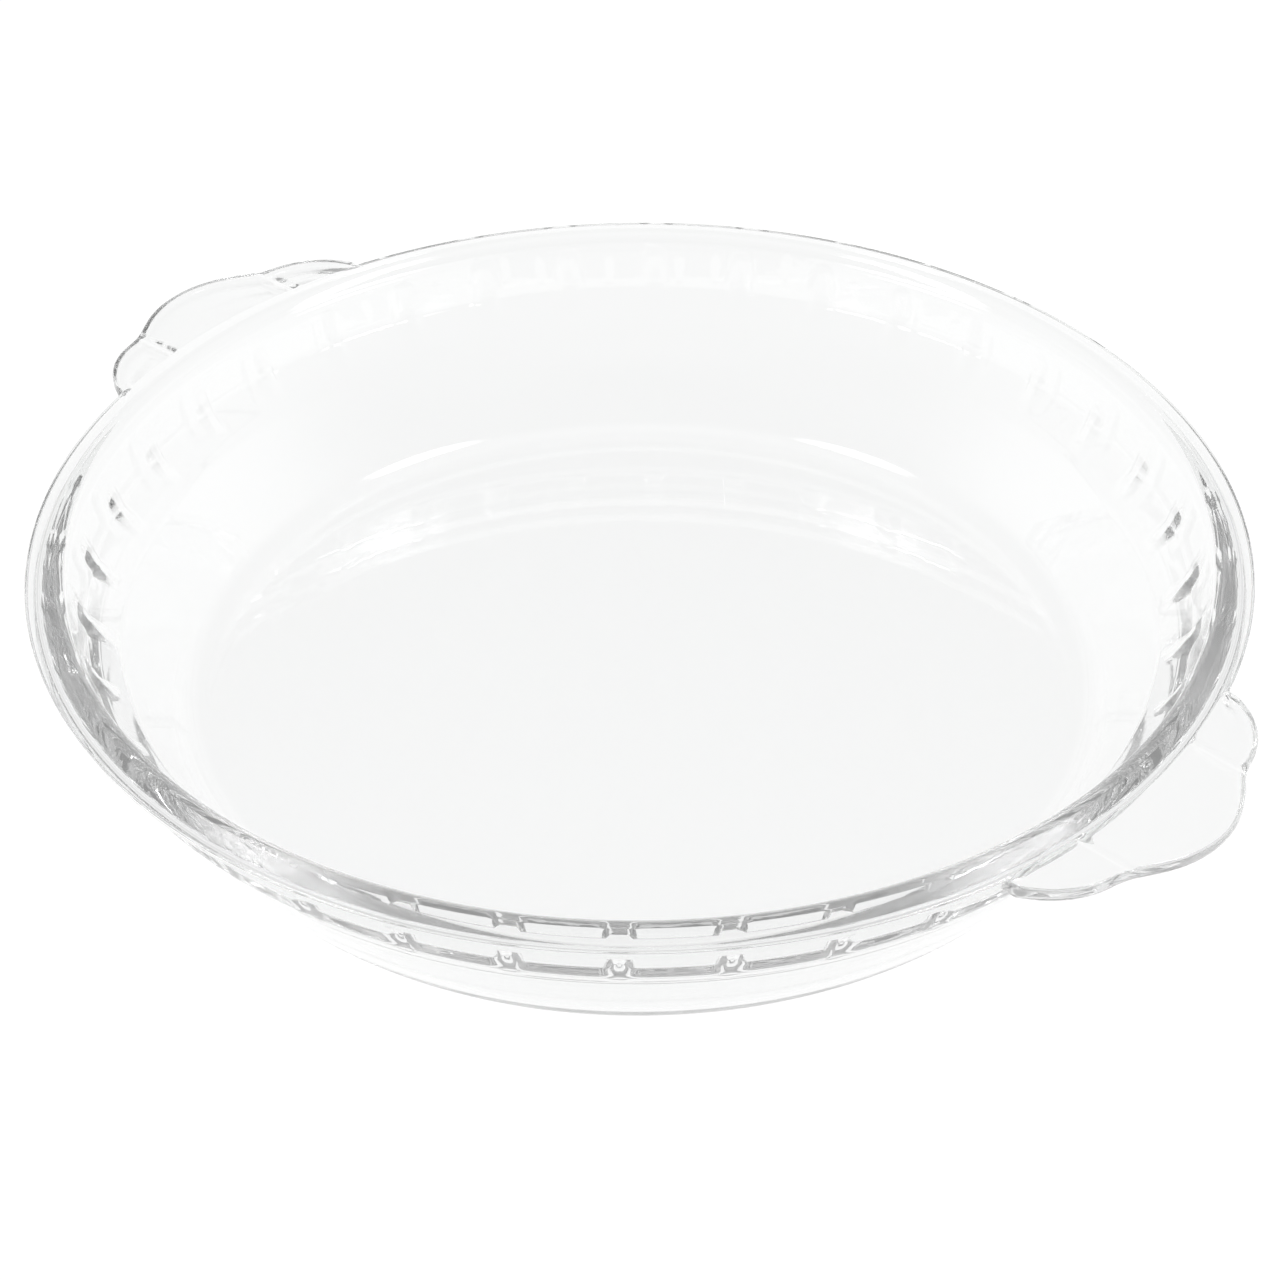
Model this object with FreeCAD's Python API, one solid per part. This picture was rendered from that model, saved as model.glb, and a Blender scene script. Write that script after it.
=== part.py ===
import FreeCAD
import Part
import math
import os

# Pressed glass pie dish: a round dish with a fluted upstand, a sloping rim and two lobed handles.
# Millimetres, +Z up, origin in the middle of the face that rests on the table, handles along X.

# Rim: a flange with a level land that slopes down to a thinner outer edge, with a cove under it
rim_radius = 119.5
rim_height = 42.75
rim_width = 7.5
rim_land_width = 2.85
rim_slope_drop = 1.25
rim_edge_height = 2.3
rim_edge_draft = 0.8
rim_overhang = 3.1
rim_underside_drop = 0.2
rim_cove_radius = 3.5
rim_inner_edge_radius = 2.2
rim_land_edge_radius = 1.5
rim_outer_edge_radius = 0.35

# Upstand: the steep ring under the rim, down to the crease where the ledge starts
upstand_height = 11.9
upstand_flare = 3.25
upstand_seam_depth = 7.0

# Ledge: the sloping step between the upstand and the side wall
ledge_width = 6.3
ledge_drop = 6.5
ledge_thickness = 4.1
ledge_edge_radius = 8.5
crease_radius = 1.0
shoulder_radius = 5.4

# Side wall, heel and base; the slope is in degrees above level
wall_slope = 57.6
wall_thickness = 5.8
floor_thickness = 5.0
inner_heel_radius = 6.3
outer_heel_radius = 11.3

# Flute ribs: small gussets in the corner between the upstand and the ledge
rib_count = 36
rib_rise = 6.2
rib_reach = 4.4
rib_width = 4.2
rib_root_share = 1.0

# Handles: three lobes each, on a tab that starts near the foot of the rim's slope
lip_width = 6.5
middle_lobe_reach = 16.2
middle_lobe_radius = 24.0
side_lobe_reach = 8.6
side_lobe_radius = 17.4
side_lobe_spread = 17.7
handle_tip_drop = 0.2
handle_tip_thickness = 3.4
handle_top_edge_radius = 0.5
handle_lower_edge_radius = 1.0

# Cutting shapes run past what they cut by this much
overrun = 30.0

axis = FreeCAD.Vector(0, 0, 1)
centre = FreeCAD.Vector(0, 0, 0)


# A point of the section plane, at a distance from the dish's axis and a height above the table
def spot(radius, height):
    return FreeCAD.Vector(radius, 0, height)


def heading(start, end):
    return (end - start).normalize()


# A direction of the section plane turned by a quarter turn, towards the outside of the dish
def outward(direction):
    return spot(direction.z, -direction.x)


# The point where two lines of the section plane meet
def crossing(first, first_way, second, second_way):
    gap = second - first
    turn = first_way.x * second_way.z - first_way.z * second_way.x
    run = (gap.x * second_way.z - gap.z * second_way.x) / turn
    return first + first_way * run


# Start, middle and end of the arc that rounds a corner
def rounded(before, corner, after, radius):
    back = heading(corner, before)
    onward = heading(corner, after)
    half_angle = back.getAngle(onward) / 2
    run = radius / math.tan(half_angle)
    depth = radius / math.sin(half_angle) - radius
    return corner + back * run, corner + heading(centre, back + onward) * depth, corner + onward * run


# A closed section turned about the dish's axis; a pair in the path is an arc's middle and end
def ring(path):
    edges = []
    here = path[0]
    for step in path[1:] + path[:1]:
        if isinstance(step, tuple):
            middle, end = step
            edges.append(Part.Arc(here, middle, end).toShape())
        else:
            end = step
            if end is not here:
                edges.append(Part.LineSegment(here, end).toShape())
        here = end
    return Part.Face(Part.Wire(edges)).revolve(centre, axis, 360)


# Middle of the heel's arc, which touches a line of the wall and the level face that it turns into
def heel_centre(wall_point, face_height, radius):
    line_point = wall_point - outward(wall_way) * radius
    return crossing(line_point, wall_way, spot(0, face_height + radius), spot(1, 0))


# Inside line of the section, from the rim down to the floor
rim_inner = spot(rim_radius - rim_width, rim_height)
land_edge = spot(rim_inner.x + rim_land_width, rim_height)
crease = spot(rim_inner.x - upstand_flare, rim_height - upstand_height)
ledge_edge = spot(crease.x - ledge_width, crease.z - ledge_drop)
upstand_way = heading(crease, rim_inner)
ledge_way = heading(ledge_edge, crease)
wall_way = spot(math.cos(math.radians(wall_slope)), math.sin(math.radians(wall_slope)))
inner_heel = heel_centre(ledge_edge, floor_thickness, inner_heel_radius)
inner_wall_foot = inner_heel + outward(wall_way) * inner_heel_radius
floor_edge = spot(inner_heel.x, floor_thickness)

# Outside line of the section
rim_outer = spot(rim_radius, rim_height - rim_slope_drop)
rim_foot = spot(rim_radius - rim_edge_draft, rim_outer.z - rim_edge_height)
upstand_head = spot(rim_foot.x - rim_overhang, rim_foot.z - rim_underside_drop)
outer_wall_point = inner_wall_foot + outward(wall_way) * wall_thickness
outer_ledge_point = ledge_edge + outward(ledge_way) * ledge_thickness
ledge_underside = crossing(outer_wall_point, wall_way, outer_ledge_point, ledge_way)
shoulder = crossing(outer_ledge_point, ledge_way, upstand_head, upstand_way)
outer_heel = heel_centre(outer_wall_point, 0, outer_heel_radius)
outer_wall_foot = outer_heel + outward(wall_way) * outer_heel_radius
base_edge = spot(outer_heel.x, 0)

# Each heel's arc has its middle half way between straight down and square to the wall
heel_middle_way = heading(centre, outward(wall_way) - axis)
inner_heel_middle = inner_heel + heel_middle_way * inner_heel_radius
outer_heel_middle = outer_heel + heel_middle_way * outer_heel_radius

# Rounded corners of the section
ledge_arc = rounded(inner_wall_foot, ledge_edge, crease, ledge_edge_radius)
crease_arc = rounded(ledge_edge, crease, rim_inner, crease_radius)
shoulder_arc = rounded(ledge_underside, shoulder, upstand_head, shoulder_radius)
cove_arc = rounded(shoulder, upstand_head, rim_foot, rim_cove_radius)
rim_inner_arc = rounded(crease, rim_inner, land_edge, rim_inner_edge_radius)
land_arc = rounded(rim_inner, land_edge, rim_outer, rim_land_edge_radius)
rim_outer_arc = rounded(land_edge, rim_outer, rim_foot, rim_outer_edge_radius)
upstand_seam = rim_inner - upstand_way * upstand_seam_depth


def base():
    return ring([centre, base_edge, floor_edge, spot(0, floor_thickness)])


def heel():
    outer = (outer_heel_middle, outer_wall_foot)
    inner = (inner_heel_middle, floor_edge)
    return ring([floor_edge, base_edge, outer, inner_wall_foot, inner])


def side_wall():
    return ring([outer_wall_foot, ledge_underside, ledge_arc[0], inner_wall_foot])


def ledge():
    outer = (shoulder_arc[1], shoulder_arc[2])
    corner = (crease_arc[1], crease_arc[0])
    edge = (ledge_arc[1], ledge_arc[0])
    below = [ledge_arc[0], ledge_underside, shoulder_arc[0], outer]
    above = [crease_arc[2], corner, ledge_arc[2], edge]
    return ring(below + above)


def upstand():
    return ring([shoulder_arc[2], cove_arc[0], upstand_seam, crease_arc[2]])


def rim_ring():
    cove = (cove_arc[1], cove_arc[2])
    outer = (rim_outer_arc[1], rim_outer_arc[0])
    land = (land_arc[1], land_arc[0])
    inner = (rim_inner_arc[1], rim_inner_arc[0])
    below = [upstand_seam, cove_arc[0], cove, rim_foot]
    above = [rim_outer_arc[2], outer, land_arc[2], land, rim_inner_arc[2], inner]
    return ring(below + above)


# One gusset, pointed at both ends, trimmed to the faces that it sits on and repeated all round
def flute_ribs(carriers):
    top = crease + upstand_way * rib_rise
    toe = crease - ledge_way * rib_reach
    ridge_way = heading(toe, top)
    crown = crossing(toe, ridge_way, crease, outward(ridge_way))
    root = crease + (crease - crown) * rib_root_share
    side = FreeCAD.Vector(0, rib_width / 2 * (1 + rib_root_share), 0)
    corners = [top, toe, root + side, root - side]
    faces = []
    for skipped in range(len(corners)):
        kept = corners[:skipped] + corners[skipped + 1:]
        faces.append(Part.Face(Part.makePolygon(kept + kept[:1])))
    gusset = Part.Solid(Part.Shell(faces)).cut(carriers)
    ribs = []
    for number in range(rib_count):
        rib = gusset.copy()
        rib.rotate(centre, axis, 360 * number / rib_count)
        ribs.append(rib)
    return Part.makeCompound(ribs)


# Places on the handle that points along +X
lip_radius = rim_inner.x + lip_width
middle_lobe_tip = rim_radius + middle_lobe_reach
middle_lobe_middle = FreeCAD.Vector(middle_lobe_tip - middle_lobe_radius, 0, 0)
side_lobe_middle = FreeCAD.Vector(rim_radius + side_lobe_reach - side_lobe_radius, side_lobe_spread, 0)
handle_root = crossing(land_edge, heading(land_edge, rim_outer), spot(lip_radius, 0), axis)
handle_tip = spot(middle_lobe_tip, rim_outer.z - handle_tip_drop)
handle_root_foot = crossing(rim_foot, heading(upstand_head, rim_foot), handle_root, axis)
handle_tip_foot = handle_tip - axis * handle_tip_thickness


# Distance from the handle's axis to the notch where the middle lobe's and a side lobe's circles meet
def notch_distance():
    gap = side_lobe_middle - middle_lobe_middle
    along = (gap.Length ** 2 + middle_lobe_radius ** 2 - side_lobe_radius ** 2) / (2 * gap.Length)
    across = math.sqrt(middle_lobe_radius ** 2 - along ** 2)
    return (along * gap.y - across * gap.x) / gap.Length


# Angle, in degrees, from the handle's axis to where a side lobe's circle meets the rim's
def handle_half_angle():
    distance = side_lobe_middle.Length
    cosine = (rim_radius ** 2 + distance ** 2 - side_lobe_radius ** 2) / (2 * rim_radius * distance)
    return math.degrees(math.atan2(side_lobe_middle.y, side_lobe_middle.x) + math.acos(cosine))


# All the space outside the rim's lip, from one end of the handle to the other
def handle_sector():
    half_angle = handle_half_angle()
    height = rim_height + overrun
    wedge = Part.makeCylinder(middle_lobe_tip + overrun, height, centre, axis, 2 * half_angle)
    wedge.rotate(centre, axis, -half_angle)
    return wedge.cut(Part.makeCylinder(lip_radius, height))


# The part of that space between the handle's underside and its top face
def handle_slab():
    foot_way = heading(handle_root_foot, handle_tip_foot)
    top_way = heading(handle_root, handle_tip)
    corners = [
        handle_root_foot - foot_way * overrun,
        handle_tip_foot + foot_way * overrun,
        handle_tip + top_way * overrun,
        handle_root - top_way * overrun,
    ]
    section = Part.Face(Part.makePolygon(corners + corners[:1]))
    half_width = FreeCAD.Vector(0, side_lobe_spread + side_lobe_radius + overrun, 0)
    section.translate(-half_width)
    return section.extrude(half_width * 2).common(handle_sector())


# Upright column over a lobe's outline, cut off at the notch
def lobe_column(middle, radius, low, high):
    column = Part.makeCylinder(radius, rim_height + overrun, middle)
    strip = Part.makeBox(2 * radius, high - low, rim_height + overrun)
    strip.translate(FreeCAD.Vector(middle.x - radius, low, 0))
    return column.common(strip)


def middle_column():
    return lobe_column(middle_lobe_middle, middle_lobe_radius, -notch_distance(), notch_distance())


def side_column():
    far_side = side_lobe_spread + side_lobe_radius
    return lobe_column(side_lobe_middle, side_lobe_radius, notch_distance(), far_side)


# Curved edges of a lobe's outline, the upper ones or the lower ones
def outline_edges(block, upper):
    middle_height = (block.BoundBox.ZMin + block.BoundBox.ZMax) / 2
    edges = []
    for edge in block.Edges:
        low, high = edge.ParameterRange
        place = edge.valueAt((low + high) / 2)
        on_outline = math.hypot(place.x, place.y) > lip_radius + handle_top_edge_radius
        on_side = (place.z > middle_height) == upper
        if on_outline and on_side and not isinstance(edge.Curve, Part.Line):
            edges.append(edge)
    return edges


# A lobe with its outer edges rounded, fuller below than on top
def lobe(column):
    block = column.common(handle_slab()).Solids[0]
    softened = block.makeFillet(handle_lower_edge_radius, outline_edges(block, False))
    return softened.makeFillet(handle_top_edge_radius, outline_edges(softened, True))


def mirrored(shape):
    return shape.mirror(centre, FreeCAD.Vector(0, 1, 0))


def half_turned(shape):
    turned = shape.copy()
    turned.rotate(centre, axis, 180)
    return turned


def rim():
    sector = handle_sector()
    return rim_ring().cut(sector).cut(half_turned(sector))


parts = {
    "base": base(),
    "heel": heel(),
    "side_wall": side_wall(),
    "ledge": ledge(),
    "upstand": upstand(),
    "rim": rim(),
}
parts["flute_ribs"] = flute_ribs([parts["ledge"], parts["upstand"], parts["rim"]])

middle_lobe = lobe(middle_column())
side_lobe = lobe(side_column())
parts["right_handle_middle_lobe"] = middle_lobe
parts["right_handle_back_lobe"] = side_lobe
parts["right_handle_front_lobe"] = mirrored(side_lobe)
parts["left_handle_middle_lobe"] = half_turned(middle_lobe)
parts["left_handle_back_lobe"] = half_turned(mirrored(side_lobe))
parts["left_handle_front_lobe"] = half_turned(side_lobe)

os.makedirs("parts", exist_ok=True)
for name, shape in parts.items():
    shape.exportStep("parts/" + name + ".step")
    print(name, len(shape.Solids), "solids,", round(shape.Volume), "cubic mm, valid", shape.isValid())
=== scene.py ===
import bpy
import math
from mathutils import Matrix, Vector


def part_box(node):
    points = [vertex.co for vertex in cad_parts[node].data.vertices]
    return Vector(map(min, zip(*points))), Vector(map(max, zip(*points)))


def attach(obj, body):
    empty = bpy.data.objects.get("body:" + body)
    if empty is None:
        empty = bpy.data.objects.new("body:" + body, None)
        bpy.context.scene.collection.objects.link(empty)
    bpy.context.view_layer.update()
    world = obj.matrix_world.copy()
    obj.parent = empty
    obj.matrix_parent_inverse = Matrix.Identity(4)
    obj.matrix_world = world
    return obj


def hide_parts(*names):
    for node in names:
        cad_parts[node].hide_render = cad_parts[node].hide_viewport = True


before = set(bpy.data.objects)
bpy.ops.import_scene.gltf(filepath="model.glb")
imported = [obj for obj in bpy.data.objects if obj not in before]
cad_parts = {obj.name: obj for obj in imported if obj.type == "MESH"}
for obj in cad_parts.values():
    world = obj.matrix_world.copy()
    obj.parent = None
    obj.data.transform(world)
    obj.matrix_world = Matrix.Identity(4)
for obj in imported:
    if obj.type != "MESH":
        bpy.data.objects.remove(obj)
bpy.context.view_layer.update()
mm = 0.001
fullTurn = 2 * math.pi
print("frame loaded:", len(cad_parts), "nodes")

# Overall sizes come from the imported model
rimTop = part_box("rim")[1].z
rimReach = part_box("rim")[1].y
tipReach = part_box("right_handle_middle_lobe")[1].x
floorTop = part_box("base")[1].z


# Section of the dish, in metres from its axis and above the table

sectionSizes = {
    "rimWidth": 7.486 * mm,
    "landWidth": 2.839 * mm,  # level top of the rim, before it slopes down to its outer edge
    "landRound": 1.483 * mm,
    "bevelDrop": 1.244 * mm,
    "rimInnerRound": 2.2 * mm,
    "rimOuterRound": 0.348 * mm,
    "rimEdgeHeight": 2.308 * mm,
    "rimEdgeDraft": 0.81 * mm,
    "rimFootRound": 0.426 * mm,
    "rimOverhang": 3.102 * mm,
    "undersideDrop": 0.221 * mm,
    "coveRound": 3.5 * mm,
    "upstandHeight": 10.679 * mm,  # from the crease to the level of the rim's outer edge
    "upstandFlare": 3.26 * mm,
    "upstandTwist": math.radians(1.196),  # between the upstand's two faces
    "creaseRound": 1.0 * mm,
    "ledgeWidth": 6.298 * mm,
    "ledgeDrop": 6.5 * mm,
    "ledgeThickness": 4.069 * mm,
    "ledgeRound": 8.474 * mm,
    "shoulderRound": 5.378 * mm,
    "undersideRound": 1.0 * mm,
    "wallSlope": math.radians(57.638),
    "wallThickness": 5.806 * mm,
    "innerHeelRound": 6.32 * mm,
    "outerHeelRound": 11.269 * mm,
}

handleSizes = {
    "lipWidth": 6.5 * mm,  # from the rim's inner edge to the line where the handle starts
    "lipRun": 1.0 * mm,  # part of the rim's slope that gives way where that line bends out
    "rootRound": 0.5 * mm,
    "tipDrop": 0.2 * mm,  # the handle's top at its tip, below the rim's outer edge
    "tipThickness": 3.4 * mm,
    "topRound": 0.7 * mm,
    "lowerRound": 1.8 * mm,
    "undersideShare": 0.18,  # where the handle's underside leaves the rim's, from its edge to its cove
    "middleLobeRadius": 24.05 * mm,
    "sideLobeReach": 128.13 * mm,  # furthest the side lobe's circle goes along the handle
    "sideLobeAcross": 17.67 * mm,
    "sideLobeRadius": 17.44 * mm,
    "notchSoftness": 5.6 * mm,
    "endSoftness": 2.5 * mm,
    "rootBlend": 2.6 * mm,  # reach over which the rim's section turns into the handle's
    "lipBend": 4.0 * mm,  # reach over which the lip's line bends out to the rim's edge
    "lipGap": 0.3 * mm,
    "edgeZone": 3.0 * mm,  # width of the rounded edge, which is the same all along the outline
    "edgeShare": 0.6,  # most of the handle's reach that the rounded edge may take
    "grooveAcross": 17.5 * mm,
    "grooveWidth": 1.2 * mm,
    "grooveDepth": 0.5 * mm,
    "grooveFirst": 10,  # points of the handle's edge line between which the groove is cut
    "grooveLast": 20,
}

fluteSizes = {
    "count": 36,
    "rise": 6.2 * mm,
    "reach": 4.4 * mm,
    "halfWidth": 1.7 * mm,
    "sideSlope": 2.5,
    "crestRound": 0.5 * mm,
    "footFillet": 0.8 * mm,
}

meshSizes = {
    "stationsPerFlute": 16,
    "crowding": 0.82,  # how far the mesh lines gather at a flute's ridge, 0 to 1
    "fineStep": 0.25,  # degrees, in the zones where a handle changes shape
    "fineZones": ((6.8, 9.8), (14.0, 19.0)),  # degrees from the handle's middle: its notch, and its end
    "leastStep": 0.05,  # degrees
    "mergeDistance": 0.005 * mm,
}


def crossing(first, firstWay, second, secondWay):
    gap = second - first
    turn = firstWay.x * secondWay.y - firstWay.y * secondWay.x
    return first + firstWay * ((gap.x * secondWay.y - gap.y * secondWay.x) / turn)


def outward(way):  # a quarter turn of a section direction, away from the filling
    return Vector((way.y, -way.x))


def turned(spoke, angle):
    return Vector((spoke.x * math.cos(angle) - spoke.y * math.sin(angle),
                   spoke.x * math.sin(angle) + spoke.y * math.cos(angle)))


def addRun(points, end, steps):  # points stand closer at both ends, where the line starts to bend
    start = points[-1]
    for step in range(1, steps + 1):
        points.append(start.lerp(end, (1 - math.cos(math.pi * step / steps)) / 2))


# Each corner is a point, its rounding, the steps in its arc and the steps in the run that leads to it
def softLine(corners):
    points = [corners[0][0]]
    triples = zip(corners, corners[1:], corners[2:])
    for (before, *_), (corner, radius, arcSteps, runSteps), (after, *_) in triples:
        back = (before - corner).normalized()
        onward = (after - corner).normalized()
        half = back.angle(onward) / 2
        start = corner + back * (radius / math.tan(half))
        middle = corner + (back + onward).normalized() * (radius / math.sin(half))
        addRun(points, start, runSteps)
        swing = math.pi - 2 * half
        side = 1 if back.x * onward.y - back.y * onward.x < 0 else -1
        spoke = start - middle
        for step in range(1, arcSteps + 1):
            points.append(middle + turned(spoke, side * swing * step / arcSteps))
    addRun(points, corners[-1][0], corners[-1][3])
    return points


def dishSection():
    sizes = sectionSizes
    grip = handleSizes
    edgeTop = rimTop - sizes["bevelDrop"]
    slope = sizes["rimWidth"] - sizes["landWidth"]
    slopeWay = Vector((-slope, sizes["bevelDrop"])).normalized()
    edgeWay = Vector((-sizes["rimEdgeDraft"], -sizes["rimEdgeHeight"])).normalized()
    halfCorner = slopeWay.angle(edgeWay) / 2
    inset = (slopeWay + edgeWay).normalized() * (sizes["rimOuterRound"] / math.sin(halfCorner))
    # The sharp corner, before rounding
    rimOuter = Vector((rimReach - sizes["rimOuterRound"] - inset.x, edgeTop))
    rimFoot = Vector((rimOuter.x - sizes["rimEdgeDraft"], edgeTop - sizes["rimEdgeHeight"]))
    upstandHead = Vector((rimFoot.x - sizes["rimOverhang"], rimFoot.y - sizes["undersideDrop"]))
    rimInner = Vector((rimOuter.x - sizes["rimWidth"], rimTop))
    landEdge = Vector((rimInner.x + sizes["landWidth"], rimTop))
    crease = Vector((rimInner.x - sizes["upstandFlare"], edgeTop - sizes["upstandHeight"]))
    ledgeEdge = Vector((crease.x - sizes["ledgeWidth"], crease.y - sizes["ledgeDrop"]))
    wallWay = Vector((math.cos(sizes["wallSlope"]), math.sin(sizes["wallSlope"])))
    ledgeWay = (crease - ledgeEdge).normalized()
    upstandWay = (rimInner - crease).normalized()
    level = Vector((1, 0))
    axisFloor = Vector((0, floorTop))
    axisFoot = Vector((0, 0))
    floorCorner = crossing(axisFloor, level, ledgeEdge, wallWay)
    outerWall = ledgeEdge + outward(wallWay) * sizes["wallThickness"]
    outerLedge = ledgeEdge + outward(ledgeWay) * sizes["ledgeThickness"]
    underside = crossing(outerWall, wallWay, outerLedge, ledgeWay)
    outerUpstandWay = turned(upstandWay, -sizes["upstandTwist"])
    shoulder = crossing(outerLedge, ledgeWay, upstandHead, outerUpstandWay)
    footCorner = crossing(axisFoot, level, outerWall, wallWay)

    lipShare = (grip["lipWidth"] - sizes["landWidth"]) / slope
    startShare = (grip["lipWidth"] - sizes["landWidth"] - grip["rootRound"] - grip["lipRun"]) / slope
    lip = landEdge.lerp(rimOuter, lipShare)
    lipStart = landEdge.lerp(rimOuter, startShare)
    undersideEnd = rimFoot.lerp(upstandHead, grip["undersideShare"])
    inside = softLine([
        (axisFloor, 0, 0, 0),
        (floorCorner, sizes["innerHeelRound"], 12, 4),
        (ledgeEdge, sizes["ledgeRound"], 8, 3),
        (crease, sizes["creaseRound"], 8, 4),
        (rimInner, sizes["rimInnerRound"], 8, 10),
        (landEdge, sizes["landRound"], 4, 2),
        (lipStart, 0, 0, 2),
    ])
    rimEdge = softLine([
        (lipStart, 0, 0, 0),
        (rimOuter, sizes["rimOuterRound"], 9, 8),
        (rimFoot, sizes["rimFootRound"], 6, 4),
        (undersideEnd, 0, 0, 5),
    ])
    outside = softLine([
        (undersideEnd, 0, 0, 0),
        (upstandHead, sizes["coveRound"], 8, 1),
        (shoulder, sizes["shoulderRound"], 6, 4),
        (underside, sizes["undersideRound"], 5, 3),
        (footCorner, sizes["outerHeelRound"], 12, 3),
        (axisFoot, 0, 0, 4),
    ])

    tip = Vector((tipReach, edgeTop - grip["tipDrop"]))
    tipFoot = Vector((tipReach, tip.y - grip["tipThickness"]))
    handleEdge = softLine([
        (lipStart, 0, 0, 0),
        (lip, grip["rootRound"], 6, 4),
        (tip, grip["topRound"], 5, 7),
        (tipFoot, grip["lowerRound"], 5, 1),
        (undersideEnd, 0, 0, 4),
    ])
    print("section:", len(inside), len(rimEdge), len(handleEdge), len(outside), "points")
    first = len(inside)
    rimLine = inside + rimEdge[1:] + outside[1:]
    handleLine = inside + handleEdge[1:] + outside[1:]
    grooved = [0.0] * len(rimLine)
    for index in range(grip["grooveFirst"], grip["grooveLast"] + 1):
        grooved[first - 1 + index] = 1.0

    # Height of the flutes' ridge over each point, below zero where the ridge doesn't reach
    toe = crease - ledgeWay * fluteSizes["reach"]
    top = crease + upstandWay * fluteSizes["rise"]
    lift = -outward((top - toe).normalized())
    crowns = []
    for index, point in enumerate(rimLine):
        near = index < first and ledgeEdge.y < point.y < rimInner.y - sizes["rimInnerRound"]
        crowns.append((toe - point).dot(lift) if near else -sizes["rimWidth"])
    return {"rim": rimLine, "handle": handleLine, "crowns": crowns, "grooved": grooved, "lift": lift,
            "lip": lip.x, "lipStart": lipStart.x}


section = dishSection()


# Angles of the mesh lines round the dish, close together at the flutes and where a handle changes shape

def stationAngles():
    pitch = fullTurn / fluteSizes["count"]
    perFlute = meshSizes["stationsPerFlute"]
    angles = []
    for number in range(fluteSizes["count"] * perFlute):
        share = number / perFlute
        offset = share - round(share)
        warped = offset - meshSizes["crowding"] * math.sin(fullTurn * offset) / fullTurn
        angles.append((round(share) + warped) * pitch)
    fine = math.radians(meshSizes["fineStep"])
    for handleMiddle in (0, math.pi):
        for side in (-1, 1):
            for low, high in meshSizes["fineZones"]:
                steps = round(math.radians(high - low) / fine)
                for step in range(steps):
                    angles.append(handleMiddle + side * (math.radians(low) + step * fine))
    angles = sorted(angle % fullTurn for angle in angles)
    kept = angles[:1]
    for angle in angles[1:]:
        if angle - kept[-1] > math.radians(meshSizes["leastStep"]):
            kept.append(angle)
    return kept + [fullTurn]


def pointMesh(name, places):
    mesh = bpy.data.meshes.new(name)
    mesh.from_pydata(places, [], [])
    return mesh


def addAttribute(mesh, name, kind, values):
    attribute = mesh.attributes.new(name, kind, "POINT")
    for item, value in zip(attribute.data, values):
        if kind == "FLOAT_VECTOR":
            item.vector = value
        else:
            item.value = value


# Small helpers for node trees

def feed(tree, value, socket):
    if isinstance(value, bpy.types.NodeSocket):
        tree.links.new(value, socket)
    else:
        socket.default_value = value


def calc(tree, operation, *values):
    node = tree.nodes.new("ShaderNodeMath")
    node.operation = operation
    for value, socket in zip(values, node.inputs):
        feed(tree, value, socket)
    return node.outputs[0]


def addNode(tree, kind, inputs=None, **settings):
    node = tree.nodes.new(kind)
    for name, value in settings.items():
        setattr(node, name, value)
    for name, value in (inputs or {}).items():
        feed(tree, value, node.inputs[name])
    return node


def treeInput(tree, name, kind):
    return tree.interface.new_socket(name=name, in_out="INPUT", socket_type=kind)


def sampled(tree, source, kind, value, index):
    node = addNode(tree, "GeometryNodeSampleIndex", data_type=kind, domain="POINT")
    feed(tree, source, node.inputs["Geometry"])
    feed(tree, value, node.inputs["Value"])
    feed(tree, index, node.inputs["Index"])
    return node.outputs["Value"]


def named(tree, name, kind):
    node = addNode(tree, "GeometryNodeInputNamedAttribute", {"Name": name}, data_type=kind)
    return node.outputs["Attribute"]


def pointCount(tree, geometry):
    return addNode(tree, "GeometryNodeAttributeDomainSize", {"Geometry": geometry}).outputs["Point Count"]


def apart(tree, vector):
    return addNode(tree, "ShaderNodeSeparateXYZ", {"Vector": vector}).outputs


def easedShare(tree, value, whole):  # 0 at nothing to 1 at the whole, with soft ends
    return addNode(tree, "ShaderNodeMapRange", {"Value": value, "From Max": whole},
                   interpolation_type="SMOOTHSTEP").outputs["Result"]


def between(tree, share, first, second):
    return addNode(tree, "ShaderNodeMix", {"Factor": share, "A": first, "B": second}).outputs["Result"]


# Distance from the dish's axis to the far side of a lobe's circle, at an angle from the handle's middle
def lobeReach(tree, angle, along, across, radius):
    distance = calc(tree, "SQRT", calc(tree, "ADD", calc(tree, "MULTIPLY", along, along),
                                       calc(tree, "MULTIPLY", across, across)))
    lean = calc(tree, "SUBTRACT", angle, calc(tree, "ARCTAN2", across, along))
    beside = calc(tree, "MULTIPLY", distance, calc(tree, "SINE", lean))
    spare = calc(tree, "SUBTRACT", calc(tree, "MULTIPLY", radius, radius),
                 calc(tree, "MULTIPLY", beside, beside))
    chord = calc(tree, "SQRT", calc(tree, "MAXIMUM", spare, 0.0))
    return calc(tree, "ADD", calc(tree, "MULTIPLY", distance, calc(tree, "COSINE", lean)), chord)


# The dish is one closed skin: the section is carried round the axis, with the flutes and handles as rules

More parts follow.
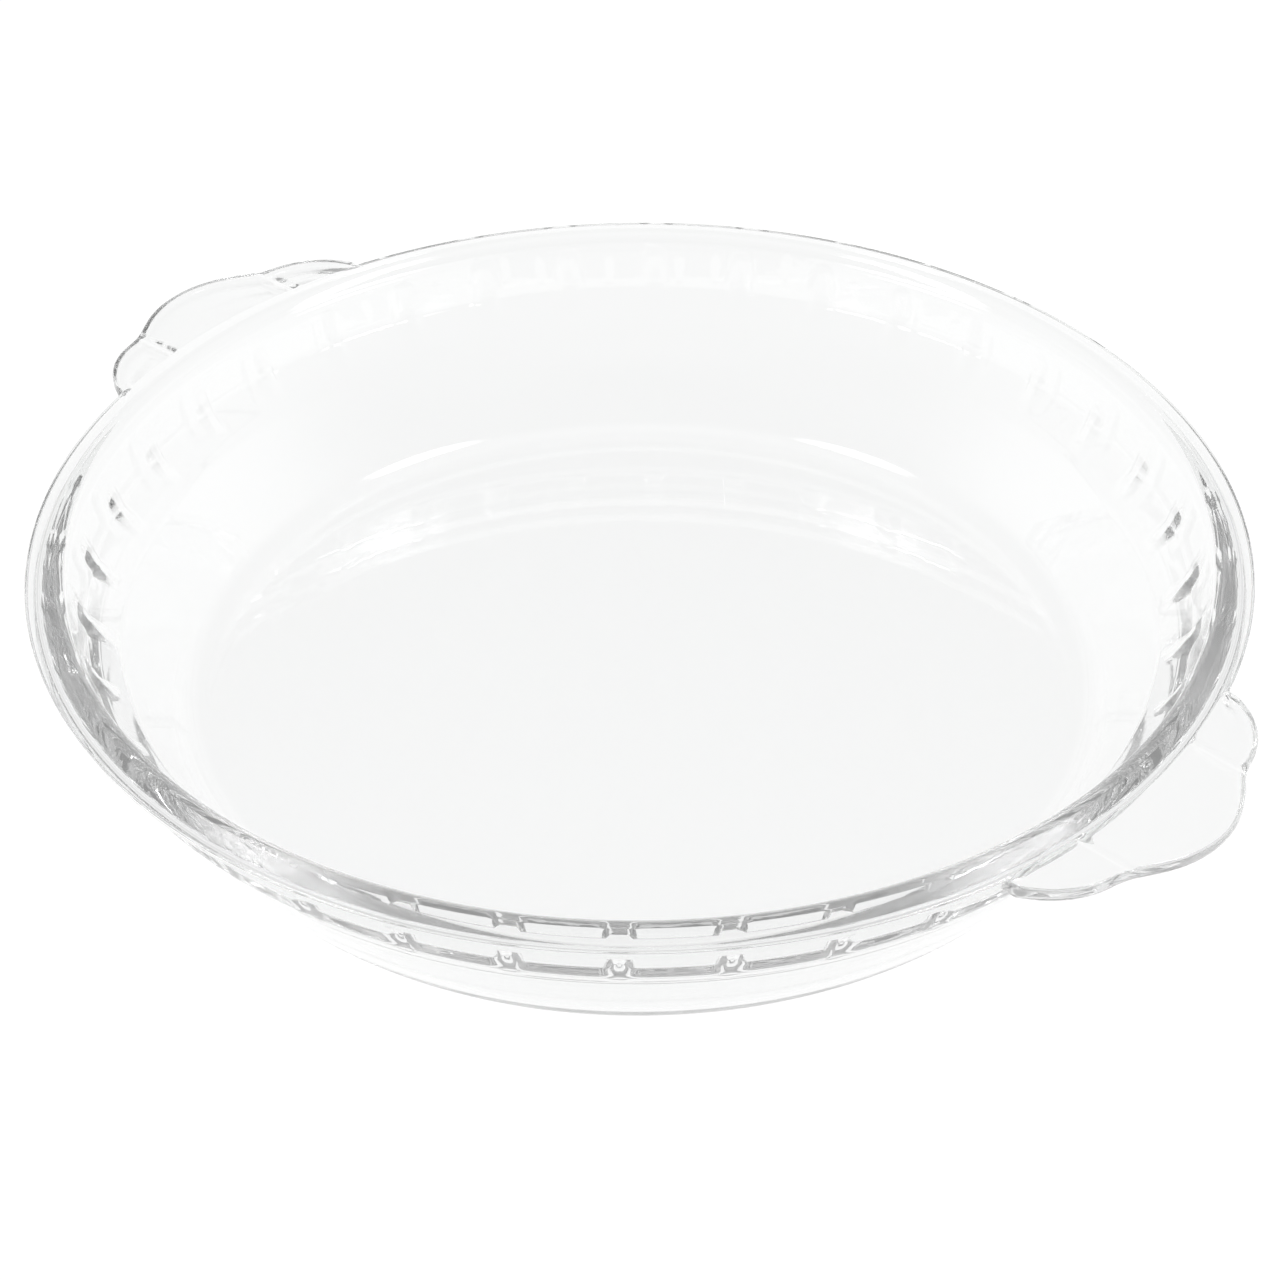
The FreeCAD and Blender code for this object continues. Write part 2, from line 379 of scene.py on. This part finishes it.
dishInputs = [
    ("Stations", "NodeSocketObject"),
    ("Glass", "NodeSocketMaterial"),
    ("Flute Count", "NodeSocketInt"),
    ("Flute Half Width", "NodeSocketFloat"),
    ("Flute Side Slope", "NodeSocketFloat"),
    ("Flute Crest Round", "NodeSocketFloat"),
    ("Flute Foot Fillet", "NodeSocketFloat"),
    ("Flute Lift Out", "NodeSocketFloat"),
    ("Flute Lift Up", "NodeSocketFloat"),
    ("Rim Reach", "NodeSocketFloat"),
    ("Lip Start", "NodeSocketFloat"),
    ("Lip Run", "NodeSocketFloat"),
    ("Lip Radius", "NodeSocketFloat"),
    ("Lip Bend", "NodeSocketFloat"),
    ("Lip Gap", "NodeSocketFloat"),
    ("Tip Reach", "NodeSocketFloat"),
    ("Edge Zone", "NodeSocketFloat"),
    ("Edge Share", "NodeSocketFloat"),
    ("Middle Lobe Along", "NodeSocketFloat"),
    ("Middle Lobe Radius", "NodeSocketFloat"),
    ("Side Lobe Along", "NodeSocketFloat"),
    ("Side Lobe Across", "NodeSocketFloat"),
    ("Side Lobe Radius", "NodeSocketFloat"),
    ("Notch Softness", "NodeSocketFloat"),
    ("End Softness", "NodeSocketFloat"),
    ("Root Blend", "NodeSocketFloat"),
    ("Groove Across", "NodeSocketFloat"),
    ("Groove Width", "NodeSocketFloat"),
    ("Groove Depth", "NodeSocketFloat"),
    ("Merge Distance", "NodeSocketFloat"),
]


def dishTree():
    tree = bpy.data.node_groups.new("pressedDish", "GeometryNodeTree")
    treeInput(tree, "Section", "NodeSocketGeometry")
    for name, kind in dishInputs:
        treeInput(tree, name, kind)
    tree.interface.new_socket(name="Dish", in_out="OUTPUT", socket_type="NodeSocketGeometry")
    given = tree.nodes.new("NodeGroupInput").outputs
    line = given["Section"]
    stations = addNode(tree, "GeometryNodeObjectInfo", {"Object": given["Stations"]}).outputs["Geometry"]

    def plus(first, second):
        return calc(tree, "ADD", first, second)

    def minus(first, second):
        return calc(tree, "SUBTRACT", first, second)

    def times(first, second):
        return calc(tree, "MULTIPLY", first, second)

    def over(first, second):
        return calc(tree, "DIVIDE", first, second)

    def least(first, second):
        return calc(tree, "MINIMUM", first, second)

    def most(first, second):
        return calc(tree, "MAXIMUM", first, second)

    # A grid has a row for each point of the section and a column for each station
    rows = pointCount(tree, line)
    columns = pointCount(tree, stations)
    grid = addNode(tree, "GeometryNodeMeshGrid", {"Vertices X": rows, "Vertices Y": columns})
    index = tree.nodes.new("GeometryNodeInputIndex").outputs[0]
    row = calc(tree, "FLOOR", over(plus(index, 0.5), columns))  # the half keeps the division off the edge
    column = minus(index, times(row, columns))

    place = tree.nodes.new("GeometryNodeInputPosition").outputs[0]
    angle = apart(tree, sampled(tree, stations, "FLOAT_VECTOR", place, column))["X"]
    rim = apart(tree, sampled(tree, line, "FLOAT_VECTOR", place, row))
    handlePlace = named(tree, "handlePlace", "FLOAT_VECTOR")
    handle = apart(tree, sampled(tree, line, "FLOAT_VECTOR", handlePlace, row))
    crown = sampled(tree, line, "FLOAT", named(tree, "fluteCrown", "FLOAT"), row)
    grooved = sampled(tree, line, "FLOAT", named(tree, "grooved", "FLOAT"), row)

    # Outline of the handles: the angle is counted from the nearest handle's middle
    turns = calc(tree, "ROUND", over(angle, math.pi))
    aside = calc(tree, "ABSOLUTE", minus(angle, times(turns, math.pi)))
    middle = lobeReach(tree, aside, given["Middle Lobe Along"], 0.0, given["Middle Lobe Radius"])
    beside = lobeReach(tree, aside, given["Side Lobe Along"], given["Side Lobe Across"],
                       given["Side Lobe Radius"])
    lobes = calc(tree, "SMOOTH_MAX", middle, beside, given["Notch Softness"])
    reach = calc(tree, "SMOOTH_MAX", lobes, given["Rim Reach"], given["End Softness"])
    stick = minus(reach, given["Rim Reach"])
    blend = easedShare(tree, stick, given["Root Blend"])

    # The lip's line bends out to the rim's edge at both ends of the handle
    spare = minus(minus(given["Rim Reach"], given["Lip Gap"]), given["Lip Radius"])
    shift = times(spare, minus(1.0, easedShare(tree, stick, given["Lip Bend"])))
    lip = plus(given["Lip Radius"], shift)
    gives = over(minus(handle["X"], given["Lip Start"]), given["Lip Run"])
    gives.node.use_clamp = True
    near = plus(least(handle["X"], given["Lip Radius"]), times(shift, gives))

    # The handle's own section, drawn out to the outline, with its rounded edge kept as wide as it is
    room = minus(reach, lip)
    edge = least(given["Edge Zone"], times(room, given["Edge Share"]))
    fromTip = minus(given["Tip Reach"], most(handle["X"], given["Lip Radius"]))
    inEdge = over(times(least(fromTip, given["Edge Zone"]), edge), given["Edge Zone"])
    ownRoom = minus(minus(given["Tip Reach"], given["Lip Radius"]), given["Edge Zone"])
    pastEdge = times(most(minus(fromTip, given["Edge Zone"]), 0.0), over(minus(room, edge), ownRoom))
    drawn = minus(minus(plus(near, room), inEdge), pastEdge)

    across = times(drawn, calc(tree, "SINE", aside))
    miss = calc(tree, "ABSOLUTE", minus(across, given["Groove Across"]))
    groove = most(minus(1.0, over(miss, given["Groove Width"])), 0.0)
    lowered = minus(handle["Z"], times(times(groove, grooved), given["Groove Depth"]))
    radius = between(tree, blend, rim["X"], drawn)
    height = between(tree, blend, rim["Z"], lowered)

    # Flutes: gussets over the crease, as high as the section's crown, with steep sides
    pitch = over(fullTurn, given["Flute Count"])
    nearest = times(calc(tree, "ROUND", over(angle, pitch)), pitch)
    offside = calc(tree, "ABSOLUTE", times(rim["X"], calc(tree, "SINE", minus(angle, nearest))))
    flank = times(minus(given["Flute Half Width"], offside), given["Flute Side Slope"])
    gable = calc(tree, "SMOOTH_MIN", crown, flank, given["Flute Crest Round"])
    raised = calc(tree, "SMOOTH_MAX", gable, 0.0, given["Flute Foot Fillet"])
    radius = plus(radius, times(raised, given["Flute Lift Out"]))
    height = plus(height, times(raised, given["Flute Lift Up"]))

    position = addNode(tree, "ShaderNodeCombineXYZ", {
        "X": times(radius, calc(tree, "COSINE", angle)),
        "Y": times(radius, calc(tree, "SINE", angle)),
        "Z": height,
    }).outputs[0]
    mesh = grid.outputs["Mesh"]
    for kind, inputs in (
        ("GeometryNodeSetPosition", {"Position": position}),
        ("GeometryNodeMergeByDistance", {"Distance": given["Merge Distance"]}),
        ("GeometryNodeSetShadeSmooth", {}),
        ("GeometryNodeRealizeInstances", {}),
        ("GeometryNodeSetMaterial", {"Material": given["Glass"]}),
    ):
        mesh = addNode(tree, kind, {"Geometry": mesh, **inputs}).outputs[0]
    result = tree.nodes.new("NodeGroupOutput")
    tree.links.new(mesh, result.inputs[0])
    return tree


# Pressed glass: clear, with the faint ripple and haze that the mould leaves

glassLook = {
    "tint": (0.952, 0.957, 0.955, 1),
    "ior": 1.5,
    "rippleScale": 260.0,
    "rippleDetail": 2.0,
    "rippleHeight": 0.02 * mm,
    "rippleStrength": 0.25,
    "hazeScale": 55.0,
    "hazeDetail": 3.0,
    "hazeFrom": 0.4,  # level of the pattern from which the haze grows
    "hazeTo": 0.75,
    "hazeLow": 0.003,
    "hazeHigh": 0.02,
    "dimColour": (0, 0, 0, 1),
    "dimming": 1.4,  # absorption density, per metre of glass
}


def pressedGlass():
    look = glassLook
    material = bpy.data.materials.new("pressedGlass")
    material.use_nodes = True
    tree = material.node_tree
    shader = tree.nodes["Principled BSDF"]
    shader.inputs["Base Color"].default_value = look["tint"]
    shader.inputs["Transmission Weight"].default_value = 1
    shader.inputs["IOR"].default_value = look["ior"]
    place = tree.nodes.new("ShaderNodeTexCoord").outputs["Object"]
    haze = addNode(tree, "ShaderNodeTexNoise", {
        "Vector": place, "Scale": look["hazeScale"], "Detail": look["hazeDetail"]})
    spread = addNode(tree, "ShaderNodeMapRange", {
        "Value": haze.outputs["Fac"], "From Min": look["hazeFrom"], "From Max": look["hazeTo"],
        "To Min": look["hazeLow"], "To Max": look["hazeHigh"]})
    tree.links.new(spread.outputs["Result"], shader.inputs["Roughness"])
    ripple = addNode(tree, "ShaderNodeTexNoise", {
        "Vector": place, "Scale": look["rippleScale"], "Detail": look["rippleDetail"]})
    bump = addNode(tree, "ShaderNodeBump", {
        "Strength": look["rippleStrength"], "Distance": look["rippleHeight"],
        "Height": ripple.outputs["Fac"]})
    tree.links.new(bump.outputs["Normal"], shader.inputs["Normal"])
    body = addNode(tree, "ShaderNodeVolumeAbsorption", {
        "Color": look["dimColour"], "Density": look["dimming"]})
    tree.links.new(body.outputs["Volume"], tree.nodes["Material Output"].inputs["Volume"])
    return material


def glassDish(material):
    grip = handleSizes
    flutes = fluteSizes
    angles = stationAngles()
    stationMesh = pointMesh("stations", [(angle, 0, 0) for angle in angles])
    stations = bpy.data.objects.new("stations", stationMesh)
    mesh = pointMesh("dishSection", [(point.x, 0, point.y) for point in section["rim"]])
    handlePlaces = [(point.x, 0, point.y) for point in section["handle"]]
    addAttribute(mesh, "handlePlace", "FLOAT_VECTOR", handlePlaces)
    addAttribute(mesh, "fluteCrown", "FLOAT", section["crowns"])
    addAttribute(mesh, "grooved", "FLOAT", section["grooved"])
    maker = bpy.data.objects.new("dishMaker", mesh)
    for item in (stations, maker):
        bpy.context.scene.collection.objects.link(item)
    values = {
        "Stations": stations,
        "Glass": material,
        "Flute Count": flutes["count"],
        "Flute Half Width": flutes["halfWidth"],
        "Flute Side Slope": flutes["sideSlope"],
        "Flute Crest Round": flutes["crestRound"],
        "Flute Foot Fillet": flutes["footFillet"],
        "Flute Lift Out": section["lift"].x,
        "Flute Lift Up": section["lift"].y,
        "Rim Reach": rimReach,
        "Lip Start": section["lipStart"],
        "Lip Run": grip["lipRun"],
        "Lip Radius": section["lip"],
        "Lip Bend": grip["lipBend"],
        "Lip Gap": grip["lipGap"],
        "Tip Reach": tipReach,
        "Edge Zone": grip["edgeZone"],
        "Edge Share": grip["edgeShare"],
        "Middle Lobe Along": tipReach - grip["middleLobeRadius"],
        "Middle Lobe Radius": grip["middleLobeRadius"],
        "Side Lobe Along": grip["sideLobeReach"] - grip["sideLobeRadius"],
        "Side Lobe Across": grip["sideLobeAcross"],
        "Side Lobe Radius": grip["sideLobeRadius"],
        "Notch Softness": grip["notchSoftness"],
        "End Softness": grip["endSoftness"],
        "Root Blend": grip["rootBlend"],
        "Groove Across": grip["grooveAcross"],
        "Groove Width": grip["grooveWidth"],
        "Groove Depth": grip["grooveDepth"],
        "Merge Distance": meshSizes["mergeDistance"],
    }
    modifier = maker.modifiers.new("pressedDish", "NODES")
    modifier.node_group = dishTree()
    for socket in modifier.node_group.interface.items_tree:
        if socket.in_out == "INPUT" and socket.name in values:
            modifier[socket.identifier] = values[socket.name]
    graph = bpy.context.evaluated_depsgraph_get()
    skin = bpy.data.meshes.new_from_object(maker.evaluated_get(graph))
    maker.modifiers.remove(modifier)
    bpy.data.objects.remove(maker)
    bpy.data.objects.remove(stations)
    skin.name = "glassDish"
    dish = bpy.data.objects.new("glassDish", skin)
    bpy.context.scene.collection.objects.link(dish)
    skin.calc_loop_triangles()
    print("dish:", len(angles) - 1, "stations,", len(skin.loop_triangles), "triangles")
    return dish


dish = glassDish(pressedGlass())
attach(dish, "root")
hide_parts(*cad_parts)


# Table, studio light and camera

studio = {
    "floorRadius": 4.0,
    "floorCorners": 96,
    "floorGap": 0.2 * mm,  # air under the dish
    "floorColour": (0.92, 0.92, 0.92, 1),
    "floorWhite": 0.95,  # share of the floor's white that doesn't depend on the lamps
    "floorGlow": 1.07,
    "skyColour": (1, 1, 1, 1),
    "skyLight": 0.5,
    "skyWhiteBelow": 0.15,  # height of the view direction up to which the studio is white
    "skyGreyAbove": 0.6,
    "skyGrey": 0.45,
    "roomFrom": -0.1,  # towards the viewer the white studio gives way to the darker room
    "roomTo": 0.5,
    "roomGrey": 0.3,
    "lightBounces": 100,
    "boxSize": 0.5,
    "boxDistance": 1.3,
    "boxPower": 18.0,
    "boxMiddle": (0.5, 0.5, 0),  # in shares of the lamp's width, as its fade is
    "boxFade": 0.5,
    "boxDirections": ((0.50, -0.07, 0.87), (-0.50, -0.07, 0.87)),
}

photoView = {
    "handleTurn": math.radians(41.988),  # from the view's right hand round to the right handle
    "elevation": math.radians(35.872),
    "aimDrop": math.radians(2.024),
    "roll": math.radians(-0.331),
    "distance": 5.0342 * rimReach,
    "noseDepth": 0.348 * mm,  # the rim's widest circle lies this far under its outer corner
    "frameWidth": 1280,
    "focalPixels": 3057.1,
    "sensorWidth": 36,
}


def whiteRays(tree):  # rays that should meet the plain white studio
    path = tree.nodes.new("ShaderNodeLightPath").outputs
    seen = calc(tree, "MAXIMUM", path["Is Camera Ray"], path["Is Glossy Ray"])
    return path, calc(tree, "MAXIMUM", seen, path["Is Transmission Ray"])


def fading(tree, value, start, end, last):  # 1 up to the start, then softly to the last level at the end
    return addNode(tree, "ShaderNodeMapRange", {
        "Value": value, "From Min": start, "From Max": end, "To Min": 1.0, "To Max": last,
    }, interpolation_type="SMOOTHSTEP").outputs["Result"]


def makeFloor():
    material = bpy.data.materials.new("paleFloor")
    material.use_nodes = True
    tree = material.node_tree
    plain = tree.nodes["Principled BSDF"]
    plain.inputs["Base Color"].default_value = studio["floorColour"]
    plain.inputs["Roughness"].default_value = 1
    plain.inputs["Specular IOR Level"].default_value = 0
    white = addNode(tree, "ShaderNodeEmission", {"Strength": studio["floorGlow"]})
    share = calc(tree, "MULTIPLY", whiteRays(tree)[1], studio["floorWhite"])
    mix = addNode(tree, "ShaderNodeMixShader", {"Fac": share})
    tree.links.new(plain.outputs[0], mix.inputs[1])
    tree.links.new(white.outputs[0], mix.inputs[2])
    tree.links.new(mix.outputs[0], tree.nodes["Material Output"].inputs["Surface"])
    corners = studio["floorCorners"]
    radius = studio["floorRadius"]
    places = []
    for number in range(corners):
        angle = fullTurn * number / corners
        places.append((radius * math.cos(angle), radius * math.sin(angle), -studio["floorGap"]))
    mesh = bpy.data.meshes.new("floor")
    mesh.from_pydata(places, [], [list(range(corners))])
    mesh.materials.append(material)
    floor = bpy.data.objects.new("floor", mesh)
    bpy.context.scene.collection.objects.link(floor)


def makeSky(turn):
    world = bpy.data.worlds.new("studio")
    bpy.context.scene.world = world
    world.use_nodes = True
    tree = world.node_tree
    path, seen = whiteRays(tree)
    way = tree.nodes.new("ShaderNodeTexCoord").outputs["Generated"]
    height = apart(tree, way)["Z"]
    fade = fading(tree, height, studio["skyWhiteBelow"], studio["skyGreyAbove"], studio["skyGrey"])
    viewer = turn @ Vector((0, -1, 0))
    front = addNode(tree, "ShaderNodeVectorMath", {0: way, 1: viewer}, operation="DOT_PRODUCT")
    room = fading(tree, front.outputs["Value"], studio["roomFrom"], studio["roomTo"], studio["roomGrey"])
    shown = calc(tree, "MAXIMUM", calc(tree, "MULTIPLY", fade, room), path["Is Camera Ray"])
    level = between(tree, seen, studio["skyLight"], shown)
    background = tree.nodes["Background"]
    background.inputs["Color"].default_value = studio["skyColour"]
    tree.links.new(level, background.inputs["Strength"])


def makeLamps(turn):
    for number, direction in enumerate(studio["boxDirections"]):
        lamp = bpy.data.lights.new("softBox", "AREA")
        lamp.shape = "SQUARE"
        lamp.size = studio["boxSize"]
        lamp.energy = studio["boxPower"]
        lamp.use_nodes = True
        tree = lamp.node_tree  # the lamp fades from its middle to its edges
        spot = tree.nodes.new("ShaderNodeNewGeometry").outputs["Parametric"]
        fromMiddle = addNode(tree, "ShaderNodeVectorMath", {0: spot, 1: studio["boxMiddle"]},
                             operation="DISTANCE")
        glow = fading(tree, fromMiddle.outputs["Value"], 0.0, studio["boxFade"], 0.0)
        tree.links.new(glow, tree.nodes["Emission"].inputs["Strength"])
        box = bpy.data.objects.new("softBox" + str(number), lamp)
        way = turn @ Vector(direction).normalized()
        box.location = way * studio["boxDistance"]
        box.rotation_euler = way.to_track_quat("Z", "Y").to_euler()
        bpy.context.scene.collection.objects.link(box)


def makeCamera(turn):
    view = photoView
    data = bpy.data.cameras.new("photoCamera")
    data.sensor_width = view["sensorWidth"]
    data.lens = view["focalPixels"] / view["frameWidth"] * data.sensor_width
    camera = bpy.data.objects.new("photoCamera", data)
    back = Vector((0, -math.cos(view["elevation"]), math.sin(view["elevation"])))
    aim = Vector((0, 0, rimTop - sectionSizes["bevelDrop"] - view["noseDepth"]))
    place = turn @ (back * view["distance"]) + aim
    tilt = Matrix.Rotation(math.pi / 2 - view["elevation"] - view["aimDrop"], 4, "X")
    roll = Matrix.Rotation(view["roll"], 4, "Z")
    camera.matrix_world = Matrix.Translation(place) @ turn.to_4x4() @ tilt @ roll
    bpy.context.scene.collection.objects.link(camera)
    bpy.context.scene.camera = camera


viewTurn = Matrix.Rotation(photoView["handleTurn"], 3, "Z")
makeFloor()
makeSky(viewTurn)
makeLamps(viewTurn)
makeCamera(viewTurn)
bpy.context.scene.view_settings.view_transform = "Standard"
tracing = bpy.context.scene.cycles  # light goes round inside the rim for a long time before it leaves
tracing.max_bounces = studio["lightBounces"]
tracing.transmission_bounces = studio["lightBounces"]
tracing.glossy_bounces = studio["lightBounces"]
print("studio ready")
